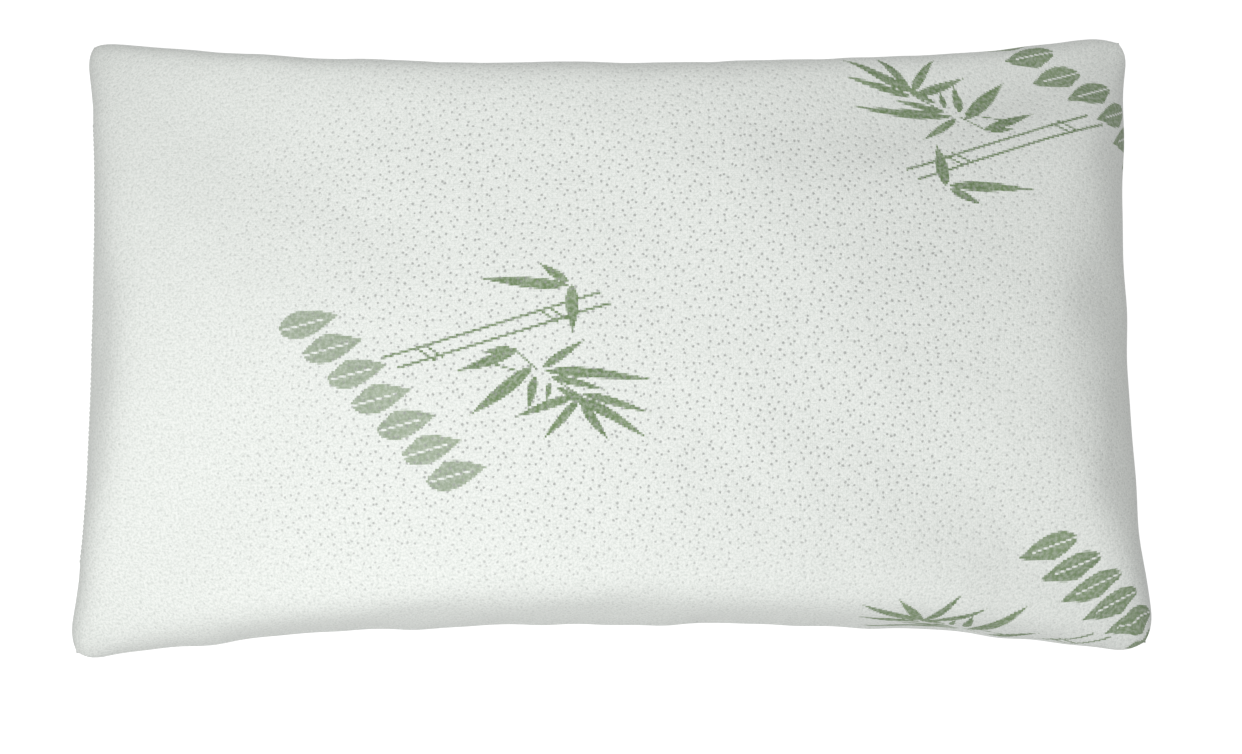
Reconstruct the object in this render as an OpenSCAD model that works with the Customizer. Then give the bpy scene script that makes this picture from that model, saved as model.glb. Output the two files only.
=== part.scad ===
// Bed pillow: a bag of foam crumb in a woven liner, inside a knitted cover that
// closes with a zip along its left short end. Millimetres, +Z up. The origin is
// at the middle of the underside, X runs along the pillow and Y across it.

/* [Filled pillow] */
// Length between the outermost corners
pillow_l = 695; // [560:1:900]
// Width between the outermost corners
pillow_w = 418; // [360:1:520]
// Thickness at the middle
pillow_h = 148; // [110:1:180]
// Height of the side seam above the surface it lies on
seam_z = 66; // [55:1:80]
// Radius of each corner, seen from above
corner_r = 14; // [8:1:24]
// How far each short end pulls in between its corners
end_pull = 11; // [6:1:16]
// How far each long side pulls in between its corners
side_pull = 19; // [6:1:28]
// Share of the underside that lies flat, from middle to seam
flat_share = 0.5; // [0.3:0.05:0.6]
// How much thinner the pillow is towards its corners
corner_thin = 0.45; // [0.2:0.05:0.6]

/* [Cover and liner] */
// Thickness of the knitted cover
cover_t = 1.6; // [1:0.1:1.8]
// Thickness of the woven liner
liner_t = 0.6; // [0.4:0.1:0.8]
// Diameter of a sewn seam, as one rope of stitches
thread_d = 1.0; // [0.6:0.1:1.2]
// Width of the blank label sewn into the liner
label_w = 40; // [25:1:60]
// Middle of the label, along the zip end
label_y = -80; // [-90:1:0]

/* [Zip] */
// Length of the opening
zip_l = 300; // [240:5:320]
// Gap between the two fabric lips
lip_gap = 8.4; // [8:0.1:9.4]
// Width of each tape
tape_w = 11; // [9:0.5:12]
// Thickness of each tape
tape_t = 0.5; // [0.4:0.05:0.6]
// Width across both halves of the coil
coil_w = 4.2; // [3.6:0.1:4.2]
// Thickness of the coil
coil_t = 1.6; // [1.2:0.1:1.6]
// Length of the slider's body
slider_l = 8.4; // [7.6:0.1:9]
// Width of the slider's body
slider_w = 6.4; // [6.2:0.1:6.8]
// Length of the pull, from its hinge to its tip
pull_l = 22; // [16:1:24]
// Width of the pull's grip
pull_w = 5; // [4.6:0.1:5.4]
// Length of one stitch
stitch_l = 2.6; // [2:0.1:3]
// Distance from one stitch to the next
stitch_pitch = 3.2; // [3.1:0.1:4]

/* [Hidden] */
$fn = 48;

half_l = pillow_l / 2;
half_w = pillow_w / 2;
top_h = pillow_h - seam_z;        // crown of the upper panel above the seam
end_power = 4.5;                  // how square the short end's hollow is
side_power = 3;                   // and the long side's
top_power = 2.5;                  // fullness of the upper panel's cross-section
bottom_power = 2;                 // and the lower panel's
round_power = 2.5;                // roundness of the rings near the middle
top_cap = 0.08;                   // share of the upper panel closed by one flat cap
side_steps = 18;                  // outline points along a long side
zip_steps = 10;                   // and along the zip
corner_steps = 4;                 // and round a corner
rings = 9;                        // rings of points from the middle to the seam
lip_end = 4;                      // length over which the lips close, past the zip

// How far each layer lies inside the cover's outer face, along X, Y and Z
cover_in = [cover_t, cover_t, cover_t];
thread_in = [2.5, 2.5, 0];
label_out = [9.6, 3, 2.2];
label_in = label_out + [0.3, 0.3, 0.3];
liner_out = [10.8, 5.4, 3];
liner_in = liner_out + [liner_t, liner_t, liner_t];
liner_thread_in = [12.9, 7.5, 0];
fill_out = [15.3, 9.8, 5.4];

// Depths behind the zip's plane, which is the middle of the left end
zip_x = half_l - end_pull;
tape_d = 2.9;                     // outer face of the tapes
tape_bend = 4.6;                  // distance from the seam where a tape turns inwards
tape_fall = 2.9;                  // how far its outer edge turns in
tape_over = 10;                   // length of tape beyond each end of the opening
half_gap = 0.4;                   // half the gap between the two halves of the zip
plate_t = 0.8;                    // thickness of the slider's two plates
plate_d = 0.2;                    // depth of the slider's outer face
slide_gap = 0.3;                  // clearance between the slider and the zip
rest_y = zip_l / 2 - 9;           // slider's middle when the zip is closed
stop_l = 1.8;                     // length of a stop
stop_y = rest_y + slider_l / 2 + 0.6;
open_y = -(zip_l / 2 - 28);       // slider's middle when the zip is open
bar_r = 0.5;                      // radius of the pull's cross bar
bar_d = plate_d - bar_r - 0.25;   // depth of the hinge's axis, outside the plate
pull_t = 1.0;                     // thickness of the pull
arch_w = 1.6;                     // width of the arch on the slider
arch_t = 0.8;                     // thickness of the arch
arch_half = 1.7;                  // half the length of the arch's opening
arch_d = bar_d - bar_r - 0.25;    // underside of the arch
window_l = 3.4;                   // reach of the pull's window from the hinge
window_w = 2.3;                   // its width, across the arch
head_w = 4.6;                     // width of the pull round the window

// ---- outline of the seam, seen from above ----

// Distance of a short end from the middle, at a share t of its half length
function end_x(t) = half_l - end_pull * (1 - pow(abs(t), end_power));
// Distance of a long side from the middle, at a share t of its half length
function side_y(t) = half_w - side_pull * (1 - pow(abs(t), side_power));

straight_y = half_w - corner_r;
straight_x = half_l - corner_r;
// Stations along a short end, with close ones where the zip's opening ends
end_rise = [for (k = [0 : zip_steps / 2]) zip_l * k / zip_steps];
end_half = concat(end_rise, [zip_l / 2 + lip_end, (zip_l / 2 + lip_end + straight_y) / 2]);
end_stations = concat(
    [for (k = [len(end_half) - 1 : -1 : 1]) -end_half[k]],
    end_half);

function corner_arc(sx, sy, from) = [for (k = [0 : corner_steps])
    let (angle = from + 90 * k / corner_steps)
    [sx * straight_x + corner_r * cos(angle), sy * straight_y + corner_r * sin(angle)]];
function long_side(sy) = [for (k = [1 : side_steps - 1])
    let (t = 1 - 2 * k / side_steps)
    [sy * t * straight_x, sy * side_y(t)]];
function short_end(sx) = [for (y = end_stations) [sx * end_x(y / straight_y), sx * y]];

outline = concat(
    short_end(1), corner_arc(1, 1, 0), long_side(1), corner_arc(-1, 1, 90),
    short_end(-1), corner_arc(-1, -1, 180), long_side(-1), corner_arc(1, -1, 270));
count = len(outline);

// True where the seam is open for the zip
function in_zip(p) = p.x < 0 && abs(p.x) < half_l - corner_r / 2 && abs(p.y) <= zip_l / 2;

// ---- panels ----

// Factor that moves an outline point onto a rounder curve, used towards the middle
function roundness(p) =
    pow(pow(abs(p.x) / half_l, round_power) + pow(abs(p.y) / half_w, round_power), -1 / round_power);

// side is 1 for an upper panel and -1 for a lower one; inset is the layer's place
function panel_point(p, ring, side, inset) = let (
    angle = 90 * ring / rings,
    power = side > 0 ? top_power : bottom_power,
    cap = side > 0 ? top_cap : flat_share,
    share = pow(sin(angle), 2 / power),
    rho = (cap + (1 - cap) * share) * (1 + pow(1 - share, 1.5) * (roundness(p) - 1)),
    corner = pow(abs(p.x / half_l * p.y / half_w), 1.5),
    swell = cos(angle) * (1 - corner_thin * share * corner),
    crown = (side > 0 ? top_h : seam_z) - inset.z)
    [rho * p.x * (half_l - inset.x) / half_l,
     rho * p.y * (half_w - inset.y) / half_w,
     seam_z + side * crown * swell];

function panel_ring(ring, side, inset, lip) = [for (p = outline)
    let (q = panel_point(p, ring, side, inset))
    ring == rings && lip > 0 && in_zip(p) ? [q.x, q.y, seam_z + side * lip] : q];

function panel_layer(side, inset, lip) =
    [for (ring = [0 : rings]) each panel_ring(ring, side, inset, lip)];

// Triangles between ring a and ring b of a list of rings with count points each
function band(a, b) = [for (k = [0 : count - 1], first = [true, false])
    let (next = (k + 1) % count)
    first ? [a * count + k, a * count + next, b * count + next]
          : [a * count + k, b * count + next, b * count + k]];
function cap_face(ring) = [for (k = [0 : count - 1]) ring * count + k];
function flipped(faces) = [for (f = faces) [for (k = [len(f) - 1 : -1 : 0]) f[k]]];

// A fabric panel from its outer face to its inner face, lip is half the zip's gap
module panel(side, outer, inner, lip = 0) {
    last = 2 * rings + 1;
    points = concat(panel_layer(side, outer, lip), panel_layer(side, inner, lip));
    skin = concat(
        flipped([cap_face(0)]),
        [for (ring = [0 : rings - 1]) each band(ring, ring + 1)],
        band(rings, last),
        [for (ring = [0 : rings - 1]) each flipped(band(rings + 1 + ring, rings + 2 + ring))],
        [cap_face(rings + 1)]);
    polyhedron(points = points, faces = side > 0 ? skin : flipped(skin), convexity = 6);
}

// A closed bag made of an upper and a lower face that share the seam's ring
module bag(inset) {
    upper = panel_layer(1, inset, 0);
    lower = [for (ring = [rings - 1 : -1 : 0]) each panel_ring(ring, -1, inset, 0)];
    last = 2 * rings;
    polyhedron(
        points = concat(upper, lower),
        faces = concat(
            flipped([cap_face(0)]),
            [for (ring = [0 : last - 1]) each band(ring, ring + 1)],
            [cap_face(last)]),
        convexity = 4);
}

// ---- sewn seams ----

// Ring of points round a path's point, square to the path, which stays level
function rope_ring(path, k, radius, sides) = let (
    before = path[max(k - 1, 0)],
    after = path[min(k + 1, len(path) - 1)],
    run = [after.x - before.x, after.y - before.y] / norm(after - before))
    [for (s = [0 : sides - 1]) let (angle = 360 * s / sides)
        [path[k].x + radius * cos(angle) * run.y,
         path[k].y - radius * cos(angle) * run.x,
         path[k].z + radius * sin(angle)]];

module rope(path, radius, sides = 8) {
    turns = len(path);
    polyhedron(
        points = [for (k = [0 : turns - 1]) each rope_ring(path, k, radius, sides)],
        faces = concat(
            [[for (s = [sides - 1 : -1 : 0]) s]],
            [for (k = [0 : turns - 2], s = [0 : sides - 1]) let (next = (s + 1) % sides)
                [k * sides + s, k * sides + next, (k + 1) * sides + next, (k + 1) * sides + s]],
            [[for (s = [0 : sides - 1]) (turns - 1) * sides + s]]),
        convexity = 6);
}

// The seam's path inside the cover, from one end of the zip round to the other
function seam_path(inset, skip_zip) = let (
    middle = len(short_end(1)) + 2 * (corner_steps + 1) + side_steps - 1 + len(end_rise) - 1,
    turned = [for (k = [1 : count - 1]) outline[(middle + k + 1) % count]])
    [for (p = turned) if (!(skip_zip && in_zip(p)))
        [p.x * (half_l - inset.x) / half_l, p.y * (half_w - inset.y) / half_w, seam_z]];

// ---- zip, in its own frame: x from the closed end to the open end, y up, z outwards ----

module at_zip() {
    translate([-zip_x, 0, seam_z]) rotate([90, 0, -90]) children();
}

// Extrudes a cross-section drawn with x as depth inwards and y as height
module along_zip(from, to) {
    translate([-zip_x, to, seam_z]) rotate([90, 0, 0]) linear_extrude(to - from) children();
}

module tape(side) {
    far = half_gap + tape_w;
    along_zip(-zip_l / 2 - tape_over, zip_l / 2 + tape_over)
        polygon([for (p = [
            [tape_d, half_gap], [tape_d, tape_bend], [tape_d + tape_fall, far],
            [tape_d + tape_fall + tape_t, far], [tape_d + tape_t, tape_bend],
            [tape_d + tape_t, half_gap]]) [p.x, side * p.y]]);
}

module coil(side) {
    low = tape_d - coil_t;
    edge = coil_w / 2;
    bevel = 0.3;
    along_zip(-zip_l / 2 + 2, stop_y - 0.2)
        polygon([for (p = [
            [tape_d, half_gap], [tape_d, edge], [low + bevel, edge], [low, edge - bevel],
            [low, half_gap + bevel], [low + bevel, half_gap]]) [p.x, side * p.y]]);
}

// A row of stitches along a lip, lying just off the cover's outer face
module lip_stitches(side) {
    height = lip_gap / 2 + 2.4;
    lift = 0.9;
    stitches = floor((zip_l - 2 * lip_end) / stitch_pitch);
    fall = 1.1;
    for (k = [0 : stitches - 1]) {
        y = (k - (stitches - 1) / 2) * stitch_pitch;
        x = end_x(y / straight_y) - fall + lift;
        translate([-x, y - stitch_l / 2, seam_z + side * height])
            rotate([-90, 0, 0]) cylinder(h = stitch_l, r = 0.22, $fn = 16);
    }
}

// A crimped stop: a block across the zip, cut to fit round what it grips
module stop_block(y, low, high) {
    along_zip(y, y + stop_l)
        polygon([[0.9, low + 0.4], [1.3, low], [3.9, low], [3.9, high], [1.3, high], [0.9, high - 0.4]]);
}

module slider_plate(depth, front, back) {
    nose = 1.6;
    long = slider_l / 2;
    at_zip() translate([-rest_y, 0, -depth - plate_t]) linear_extrude(plate_t)
        polygon([[-long, -front + nose / 2], [-long + nose, -front], [long - nose, -back],
                 [long, -back + nose / 2], [long, back - nose / 2], [long - nose, back],
                 [-long + nose, front], [-long, front - nose / 2]]);
}

module slider_flange(side) {
    depth = tape_d - slide_gap;
    at_zip() translate([-rest_y - slider_l / 2 + 1.6, side > 0 ? 2.45 : -slider_w / 2 + 0.15, -depth])
        cube([slider_l - 3.2, slider_w / 2 - 2.6, depth - plate_d - plate_t / 2]);
}

module slider_post() {
    inner = tape_d + tape_t + slide_gap;
    at_zip() translate([-rest_y - slider_l / 2 + 0.8, -0.25, -inner - plate_t / 2])
        cube([2.6, 0.5, inner - plate_d]);
}

module slider_arch() {
    outer = arch_half + arch_t;
    base = -plate_d - plate_t / 2;
    top = -arch_d + arch_t;
    at_zip() translate([-rest_y, arch_w / 2, 0]) rotate([90, 0, 0]) linear_extrude(arch_w)
        difference() {
            union() {
                translate([-outer, base]) square([2 * outer, top - base - arch_t]);
                translate([-outer + arch_t, base]) square([2 * arch_half, top - base]);
                for (s = [-1, 1]) translate([s * arch_half, top - arch_t]) circle(r = arch_t);
            }
            translate([-arch_half, -plate_d]) square([2 * arch_half, -arch_d + plate_d]);
            translate([-arch_half, base - 1]) square([2 * arch_half, 1]);
        }
}

// ---- the pieces ----

module cover_top() color("#e6e9e2") panel(1, [0, 0, 0], cover_in, lip_gap / 2);
module cover_bottom() color("#e0e3dc") panel(-1, [0, 0, 0], cover_in, lip_gap / 2);
module cover_seam_thread() color("#f0f1ec") rope(seam_path(thread_in, true), thread_d / 2);

module zip_tape_upper() color("#f2f2ee") tape(1);
module zip_tape_lower() color("#f2f2ee") tape(-1);
module zip_coil_upper() color("#e8e8e4") coil(1);
module zip_coil_lower() color("#e8e8e4") coil(-1);
module zip_thread_upper() color("#f0f1ec") lip_stitches(1);
module zip_thread_lower() color("#f0f1ec") lip_stitches(-1);

module zip_top_stops() color("#b9bcbe") difference() {
    union() {
        stop_block(stop_y, half_gap - 0.25, 2.7);
        stop_block(stop_y, -2.7, 0.25 - half_gap);
    }
    tape(1);
    tape(-1);
}

module zip_bottom_stop() color("#b9bcbe") difference() {
    stop_block(open_y - slider_l / 2 - stop_l - 0.4, -2.9, 2.9);
    for (side = [-1, 1]) {
        tape(side);
        coil(side);
    }
}

module zip_slider() color("#a9acae") {
    slider_plate(plate_d, slider_w / 2, slider_w / 2 - 0.4);
    slider_plate(tape_d + tape_t + slide_gap, slider_w / 2, slider_w / 2 - 0.4);
    slider_flange(1);
    slider_flange(-1);
    slider_post();
    slider_arch();
}

module zip_pull() color("#a9acae") at_zip() translate([-rest_y, 0, -bar_d]) {
    rotate([90, 0, 0]) translate([0, 0, -head_w / 2]) cylinder(h = head_w, r = bar_r, $fn = 24);
    translate([0, 0, -pull_t / 2]) linear_extrude(pull_t) difference() {
        union() {
            translate([0, -head_w / 2]) square([window_l + 1.6, head_w]);
            translate([window_l, -1.4]) square([6, 2.8]);
            translate([window_l + 4.4, -pull_w / 2])
                square([pull_l - window_l - 4.4 - pull_w / 2, pull_w]);
            translate([pull_l - pull_w / 2, 0]) circle(d = pull_w);
        }
        translate([bar_r * 0.6, -window_w / 2]) square([window_l - bar_r * 0.6, window_w]);
    }
}

module liner_top() color("#f6f6f4") panel(1, liner_out, liner_in);
module liner_bottom() color("#f6f6f4") panel(-1, liner_out, liner_in);
module liner_seam_thread() color("#ffffff") rope(seam_path(liner_thread_in, false), thread_d / 2);

// A tag that hangs from the liner's seam, between the liner and the cover
module liner_label() color("#fafafa") {
    reach = 4;
    across = 6;
    wide = across + 1;
    layers = [for (inset = [label_out, label_in], ring = [rings : -1 : rings - reach])
        [for (k = [0 : across]) let (y = label_y + label_w * (k / across - 0.5))
            panel_point([-end_x(y / straight_y), y], ring, -1, inset)]];
    far = reach + 1;
    rim = concat(
        [for (k = [0 : across]) k],
        [for (r = [1 : reach]) r * wide + across],
        [for (k = [across - 1 : -1 : 0]) reach * wide + k],
        [for (r = [reach - 1 : -1 : 1]) r * wide]);
    turns = len(rim);
    polyhedron(
        points = [for (row = layers) each row],
        faces = concat(
            [for (r = [0 : reach - 1], k = [0 : across - 1])
                [r * wide + k, (r + 1) * wide + k, (r + 1) * wide + k + 1, r * wide + k + 1]],
            [for (r = [far : far + reach - 1], k = [0 : across - 1])
                [r * wide + k, r * wide + k + 1, (r + 1) * wide + k + 1, (r + 1) * wide + k]],
            [for (k = [0 : turns - 1]) let (a = rim[k], b = rim[(k + 1) % turns])
                [a, b, b + far * wide, a + far * wide]]),
        convexity = 4);
}

module foam_fill() color("#e3d9c6") bag(fill_out);

cover_top();
cover_bottom();
cover_seam_thread();
zip_tape_upper();
zip_tape_lower();
zip_coil_upper();
zip_coil_lower();
zip_thread_upper();
zip_thread_lower();
zip_top_stops();
zip_bottom_stop();
zip_slider();
zip_pull();
liner_top();
liner_bottom();
liner_seam_thread();
liner_label();
foam_fill();
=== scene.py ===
"""Bed pillow: knitted cover with a printed bamboo design, zip, liner and foam crumb."""

import math

import bmesh
import bpy
import numpy as np
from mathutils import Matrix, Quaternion, Vector, noise


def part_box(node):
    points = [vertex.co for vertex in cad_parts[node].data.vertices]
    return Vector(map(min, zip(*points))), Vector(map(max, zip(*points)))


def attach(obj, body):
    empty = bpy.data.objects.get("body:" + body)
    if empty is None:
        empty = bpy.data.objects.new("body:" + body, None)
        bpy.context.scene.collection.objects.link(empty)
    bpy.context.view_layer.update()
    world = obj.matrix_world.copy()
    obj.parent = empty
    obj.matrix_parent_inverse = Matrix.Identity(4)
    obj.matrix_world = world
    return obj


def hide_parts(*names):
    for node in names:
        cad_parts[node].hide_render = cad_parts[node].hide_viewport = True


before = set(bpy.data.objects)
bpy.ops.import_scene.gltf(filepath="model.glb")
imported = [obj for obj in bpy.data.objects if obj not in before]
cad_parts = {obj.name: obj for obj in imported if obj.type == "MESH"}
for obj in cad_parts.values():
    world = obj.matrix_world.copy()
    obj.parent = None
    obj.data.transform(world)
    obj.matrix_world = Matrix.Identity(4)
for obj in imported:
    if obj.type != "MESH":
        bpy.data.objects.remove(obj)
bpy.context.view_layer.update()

# ---- sizes, in metres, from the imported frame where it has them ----

COVER_LOW, COVER_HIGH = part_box("cover_top")
HALF_L = COVER_HIGH.x
HALF_W = COVER_HIGH.y
SEAM_Z = COVER_LOW.z
CROWN = COVER_HIGH.z - SEAM_Z
TAPE_LOW, TAPE_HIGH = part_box("zip_tape_upper")
ZIP_X = TAPE_LOW.x - 0.0029     # middle of the left end, a little outside the zip's tapes
ZIP_HALF = TAPE_HIGH.y - 0.010  # half the length of the opening
ZIP_FADE = 0.006                # the opening closes over this length, each way

SEWN_L, SEWN_W = 0.711, 0.432  # the cover's panels, laid flat and sewn
SEWN_R = 0.032                 # radius of a sewn corner
CORNER_L, CORNER_W = HALF_L + 0.006, HALF_W + 0.0035  # half sizes if the filled corners were square
LEFT_PULL = CORNER_L + ZIP_X   # how far the middle of each end pulls in from there
RIGHT_PULL = 0.013
FAR_PULL, NEAR_PULL = 0.0340, 0.0265  # and the middle of each long side

CELL = 0.0072              # spacing of the simulated cloth's points
START_LIFT = 0.004         # height of each panel's middle as the cloth starts
FRAMES, DRAWN_BY = 42, 22  # length of the simulation, and when the seam is drawn in
VOLUME = 0.0245            # what the cover holds, in cubic metres
CREASES = 0.35             # how much of the simulated cloth's creasing is kept
CREASED, CALM = 5, 36      # smoothing passes that leave the creases, and that take them out
FULLNESS = 0.72            # 1 for an air cushion's section, less for a squarer one
FLATTENED = 0.009          # how much the filling flattens underneath
FLOOR_SOFT = 0.0025        # how gently the underside meets the floor

FINE = 0.0042                 # spacing of the finished cover's points
COVER_T = 0.0016              # thickness of the knit
GROOVE, GROOVE_WIDE = 0.0024, 0.0034  # depth and width of the groove along the cover's seam
LIP, LIP_WIDE = 0.0042, 0.03  # height of each lip's edge from the seam, and how far back it rises
LIP_TUCK = 0.0011             # how far the lip's edge turns in
COVER_LUMPS = ((0.0011, 17), (0.0006, 38), (0.0002, 90))  # heights, and lumps per metre
STITCH_ROW = 4                # row of the panel's points that the stitches follow
STITCH_PITCH, STITCH_L, STITCH_R = 0.0032, 0.0026, 0.00026
LUMPS_GROW = (0.004, 0.03)    # distances from the seam between which the lumps rise,
SLIP_GROWS = (0.002, 0.07)    # and between which the cloth slips more freely along itself
FLOOR_GAP = 0.0001
TAPE_T = 0.0005
TAPE_GAP = 0.0004             # between a tape and the cover over it

LINER_T = 0.0006
LINER_FINE = 0.006
LINER_GROOVE = 0.0020
LINER_LUMPS = ((0.0006, 26), (0.0003, 70))
LINER_IN = Vector((0.0108, 0.0054, 0.0030))  # how far the liner lies inside the cover
FILL_IN = Vector((0.0310, 0.0260, 0.0170))  # and the middles of the outermost crumbs
LABEL_W, LABEL_L, LABEL_Y = 0.040, 0.044, -0.080

scene = bpy.context.scene


def link(name, data):
    added = bpy.data.objects.new(name, data)
    scene.collection.objects.link(added)
    return added


def smooth(low, high, x):
    t = np.clip((x - low) / (high - low), 0, 1)
    return t * t * (3 - 2 * t)


def reach_along(path):
    """How far along an open path each of its points lies."""
    return np.concatenate([[0], np.cumsum(np.linalg.norm(np.diff(path, axis=0), axis=1))])


def looked_up(at, reach, points):
    """Points of a path at the places at, where reach gives each known point's place."""
    return np.stack([np.interp(at, reach, points[:, axis]) for axis in range(3)], axis=-1)


# ---- camera ----

LENS, SENSOR = 79.8, 36          # millimetres
SHIFT = (0.011, -0.030)
CAMERA_ANGLE = math.radians(79)  # above the surface that the pillow lies on
CAMERA_ROLL = math.radians(-0.4)
CAMERA_AWAY = 1.8


def add_camera():
    data = bpy.data.cameras.new("camera")
    data.lens, data.sensor_width = LENS, SENSOR
    data.shift_x, data.shift_y = SHIFT
    camera = link("camera", data)
    aim = Vector((0, 0, SEAM_Z))
    camera.location = aim + CAMERA_AWAY * Vector((0, -math.cos(CAMERA_ANGLE), math.sin(CAMERA_ANGLE)))
    level = (aim - camera.location).to_track_quat("-Z", "Y")
    camera.rotation_euler = (level @ Quaternion((0, 0, 1), CAMERA_ROLL)).to_euler()
    scene.camera = camera


# ---- the filled cover, as two grids of points, one for each panel ----

def flat_grid(nx, ny):
    """Flat places of a sewn panel's points, with its corners rounded."""
    x, y = np.meshgrid(np.linspace(-SEWN_L / 2, SEWN_L / 2, nx + 1),
                       np.linspace(-SEWN_W / 2, SEWN_W / 2, ny + 1), indexing="ij")
    straight_x, straight_y = SEWN_L / 2 - SEWN_R, SEWN_W / 2 - SEWN_R
    dx, dy = abs(x) - straight_x, abs(y) - straight_y
    in_corner = (dx > 0) & (dy > 0)
    away = np.hypot(dx, dy)
    shrink = np.where(in_corner, np.maximum(dx, dy) / np.where(away > 0, away, 1), 1)
    x = np.where(in_corner, np.copysign(straight_x + dx * shrink, x), x)
    y = np.where(in_corner, np.copysign(straight_y + dy * shrink, y), y)
    return np.stack([x, y], axis=-1)


def drawn_in(flat):
    """Where filling the pillow draws a flat point of the seam to, seen from above."""
    s = flat[..., 0] / (SEWN_L / 2)
    t = flat[..., 1] / (SEWN_W / 2)
    end_pull = np.where(s < 0, LEFT_PULL, RIGHT_PULL)
    end_power = np.where(s < 0, 4.5, 3.0)   # the zip keeps the left end straighter
    side_pull = np.where(t > 0, FAR_PULL, NEAR_PULL)
    reach_x = CORNER_L - end_pull * (1 - abs(t) ** end_power)
    reach_y = CORNER_W - side_pull * (1 - abs(s) ** 3)
    # the seam isn't quite even: small waves along the long sides and the right end
    wave_y = (0.0010 * np.sin(s * 17 + 1.1) + 0.0007 * np.sin(s * 31 + t)
              + 0.0005 * np.sin(s * 53 - 2 * t))
    wave_x = np.where(s > 0, 0.0008 * np.sin(t * 13 + 0.4) + 0.0005 * np.sin(t * 23), 0)
    return np.stack([s * (reach_x + wave_x), t * (reach_y + wave_y)], axis=-1)


def sewn_mesh(flat):
    """Two panels that share their seam's points, and each grid point's number in the mesh."""
    nx, ny = flat.shape[0] - 1, flat.shape[1] - 1
    lift = np.full((nx + 1, ny + 1, 1), START_LIFT)
    lift[[0, -1], :] = 0
    lift[:, [0, -1]] = 0
    top = np.arange((nx + 1) * (ny + 1)).reshape(nx + 1, ny + 1)
    inside = lift[..., 0] > 0
    bottom = top.copy()
    bottom[inside] = top.size + np.arange(inside.sum())
    points = np.concatenate([np.dstack([flat, lift]).reshape(-1, 3),
                             np.dstack([flat, -lift])[inside]])
    corners = [np.stack([g[:-1, :-1], g[1:, :-1], g[1:, 1:], g[:-1, 1:]], axis=-1).reshape(-1, 4)
               for g in (top, bottom)]
    mesh = bpy.data.meshes.new("inflating")
    mesh.from_pydata(points.tolist(), [], np.concatenate([corners[0], corners[1][:, ::-1]]).tolist())
    return mesh, top, bottom


CLOTH = dict(quality=7, tension_stiffness=60, compression_stiffness=8, shear_stiffness=4,
             bending_stiffness=1.5, tension_damping=5, compression_damping=5, shear_damping=5,
             bending_damping=0.5, air_damping=3, vertex_group_mass="seam", pin_stiffness=1,
             use_pressure=True, use_pressure_volume=True, target_volume=VOLUME,
             uniform_pressure_force=0)


def inflate(nx, ny):
    """Sews two flat panels, draws in their seam and blows them up with Cloth."""
    flat = flat_grid(nx, ny)
    mesh, top, bottom = sewn_mesh(flat)
    filled, _, _ = sewn_mesh(drawn_in(flat))
    cloth = link("inflating", mesh)
    seam = cloth.vertex_groups.new(name="seam")
    seam.add(np.unique(top[top == bottom]).tolist(), 1.0, "REPLACE")
    cloth.shape_key_add(name="Basis")
    drawn = cloth.shape_key_add(name="filled")
    drawn.data.foreach_set("co", [c for vertex in filled.vertices for c in vertex.co])
    for when, value in ((1, 0.0), (DRAWN_BY, 1.0)):
        drawn.value = value
        drawn.keyframe_insert("value", frame=when)
    modifier = cloth.modifiers.new("cloth", "CLOTH")
    for name, value in CLOTH.items():
        setattr(modifier.settings, name, value)
    modifier.settings.effector_weights.gravity = 0
    modifier.collision_settings.use_collision = False
    modifier.point_cache.frame_start = 1
    modifier.point_cache.frame_end = FRAMES
    for step in range(1, FRAMES + 1):
        scene.frame_set(step)
    shown = cloth.evaluated_get(bpy.context.evaluated_depsgraph_get())
    places = np.empty(len(shown.data.vertices) * 3, np.float32)
    shown.data.vertices.foreach_get("co", places)
    places = places.reshape(-1, 3).astype(float)
    action = mesh.shape_keys.animation_data.action
    bpy.data.objects.remove(cloth)
    bpy.data.meshes.remove(mesh)
    bpy.data.meshes.remove(filled)
    bpy.data.actions.remove(action)
    scene.frame_set(1)
    return places[top], places[bottom]


def evened(grid, passes):
    """The grid with its interior smoothed and its seam left as it is."""
    grid = grid.copy()
    for _ in range(passes):
        around = grid[2:, 1:-1] + grid[:-2, 1:-1] + grid[1:-1, 2:] + grid[1:-1, :-2]
        grid[1:-1, 1:-1] += 0.5 * (0.25 * around - grid[1:-1, 1:-1])
    return grid


def filled_cover():
    """Both panels' points at rest on the floor, and their flat places."""
    nx, ny = round(SEWN_L / CELL), round(SEWN_W / CELL)
    top, bottom = inflate(nx, ny)
    for grid in (top, bottom):
        calm = evened(grid, CALM)
        grid[:] = calm + CREASES * (evened(grid, CREASED) - calm)
    # shredded foam packs into the sides, so the faces are fuller than a plain air cushion's
    top[..., 2] = CROWN * (np.maximum(top[..., 2], 0) / top[..., 2].max()) ** FULLNESS
    low = np.maximum(-bottom[..., 2], 0)
    bottom[..., 2] = -(SEAM_Z + FLATTENED) * (low / low.max()) ** FULLNESS
    bottom[..., 2] = FLOOR_SOFT * np.logaddexp(0, (bottom[..., 2] + SEAM_Z) / FLOOR_SOFT) - SEAM_Z
    for grid in (top, bottom):
        grid[..., 2] += SEAM_Z
    return top, bottom, flat_grid(nx, ny)


def interpolated(values, at):
    """Smooth (Catmull-Rom) values at the fractional rows given by at."""
    last = len(values) - 1
    low = np.clip(np.floor(at).astype(int), 0, last - 1)
    t = (at - low).reshape(-1, *[1] * (values.ndim - 1))
    p0 = values[np.maximum(low - 1, 0)]
    p1, p2 = values[low], values[low + 1]
    p3 = values[np.minimum(low + 2, last)]
    p0 = np.where((low == 0).reshape(t.shape), 2 * p1 - p2, p0)
    p3 = np.where((low == last - 1).reshape(t.shape), 2 * p2 - p1, p3)
    curve = 2 * p0 - 5 * p1 + 4 * p2 - p3 + t * (3 * (p1 - p2) + p3 - p0)
    return p1 + 0.5 * t * (p2 - p0 + t * curve)


def resampled(grid, rows, columns):
    return interpolated(interpolated(grid, rows).swapaxes(0, 1), columns).swapaxes(0, 1)


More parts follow.
